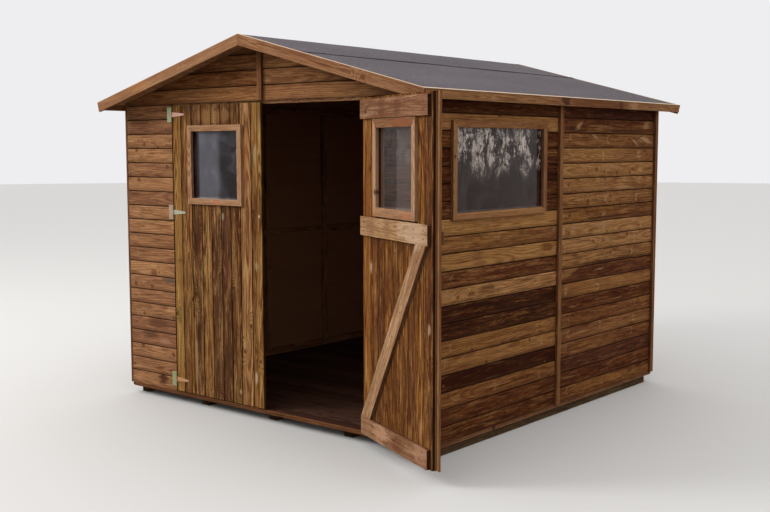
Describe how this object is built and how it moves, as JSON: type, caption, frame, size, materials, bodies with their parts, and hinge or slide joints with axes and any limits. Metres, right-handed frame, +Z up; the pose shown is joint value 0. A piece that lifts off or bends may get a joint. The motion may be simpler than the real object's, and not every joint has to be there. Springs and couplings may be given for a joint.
{
  "type": "wooden tool shed",
  "caption": "Boarded wooden tool shed with a low gabled felt roof, windowed double doors, a side window and a boarded floor; one door stands open.",
  "frame": {"origin": "underside of the middle floor bearer, in the middle of the shed's plan", "axes": "+X to the right along the front wall, -Y out of the front wall, +Z up"},
  "size_m": [2.8477, 3.0559, 2.2321],
  "materials": {
    "cladding": "weathered stained softwood boards, matt",
    "door_wood": "weathered stained softwood boards, matt",
    "ledge_wood": "planed softwood, matt",
    "trim_wood": "stained softwood strip, matt",
    "barge_wood": "stained softwood board, matt",
    "framing_wood": "sawn softwood, matt",
    "floor_wood": "worn softwood floor boards, matt",
    "bearer_wood": "pressure-treated sawn softwood, matt",
    "roof_boards": "planed softwood boards, matt",
    "roof_felt": "bitumen roofing felt with mineral grit",
    "glazing": "clear sheet, slightly dusty",
    "zinc": "zinc-plated pressed steel, dulled"
  },
  "bodies": {
    "shed": {"floor_bearers": "bearer_wood", "floor_deck": "floor_wood", "floor_edging": "trim_wood", "front_left_panel": "cladding", "front_right_panel": "cladding", "left_front_panel": "cladding", "left_rear_panel": "cladding", "right_front_panel": "cladding", "right_rear_panel": "cladding", "back_left_panel": "cladding", "back_right_panel": "cladding", "wall_rails": "framing_wood", "wall_studs": "framing_wood", "door_posts": "framing_wood", "door_head_rail": "framing_wood", "front_gable_left": "cladding", "front_gable_right": "cladding", "back_gable_left": "cladding", "back_gable_right": "cladding", "corner_trims": "trim_wood", "cover_battens": "trim_wood", "ridge_beam": "framing_wood", "purlins": "framing_wood", "roof_deck_left": "roof_boards", "roof_deck_right": "roof_boards", "roof_felt_left": "roof_felt", "roof_felt_right": "roof_felt", "roof_felt_ridge": "roof_felt", "bargeboards": "barge_wood", "eave_fascias": "barge_wood", "side_window_frame": "trim_wood", "side_window_glass": "glazing", "hinge_plates": "zinc"},
    "left_door": {"left_door_boards": "door_wood", "left_door_ledges": "ledge_wood", "left_door_window_frame": "trim_wood", "left_door_glass": "glazing", "left_door_hinges": "zinc"},
    "right_door": {"right_door_boards": "door_wood", "right_door_ledges": "ledge_wood", "right_door_window_frame": "trim_wood", "right_door_glass": "glazing", "right_door_hinges": "zinc", "door_cover_strip": "trim_wood", "turn_button": "trim_wood"}
  },
  "joints": [
    {"name": "left_door_hinge", "type": "hinge", "parent": "shed", "child": "left_door", "pos_m": [-0.794, -1.24, 0.968], "axis": [0, 0, -1], "range_deg": [0, 155]},
    {"name": "right_door_hinge", "type": "hinge", "parent": "shed", "child": "right_door", "pos_m": [0.794, -1.24, 0.968], "axis": [0, 0, 1], "range_deg": [-155, 0]}
  ]
}
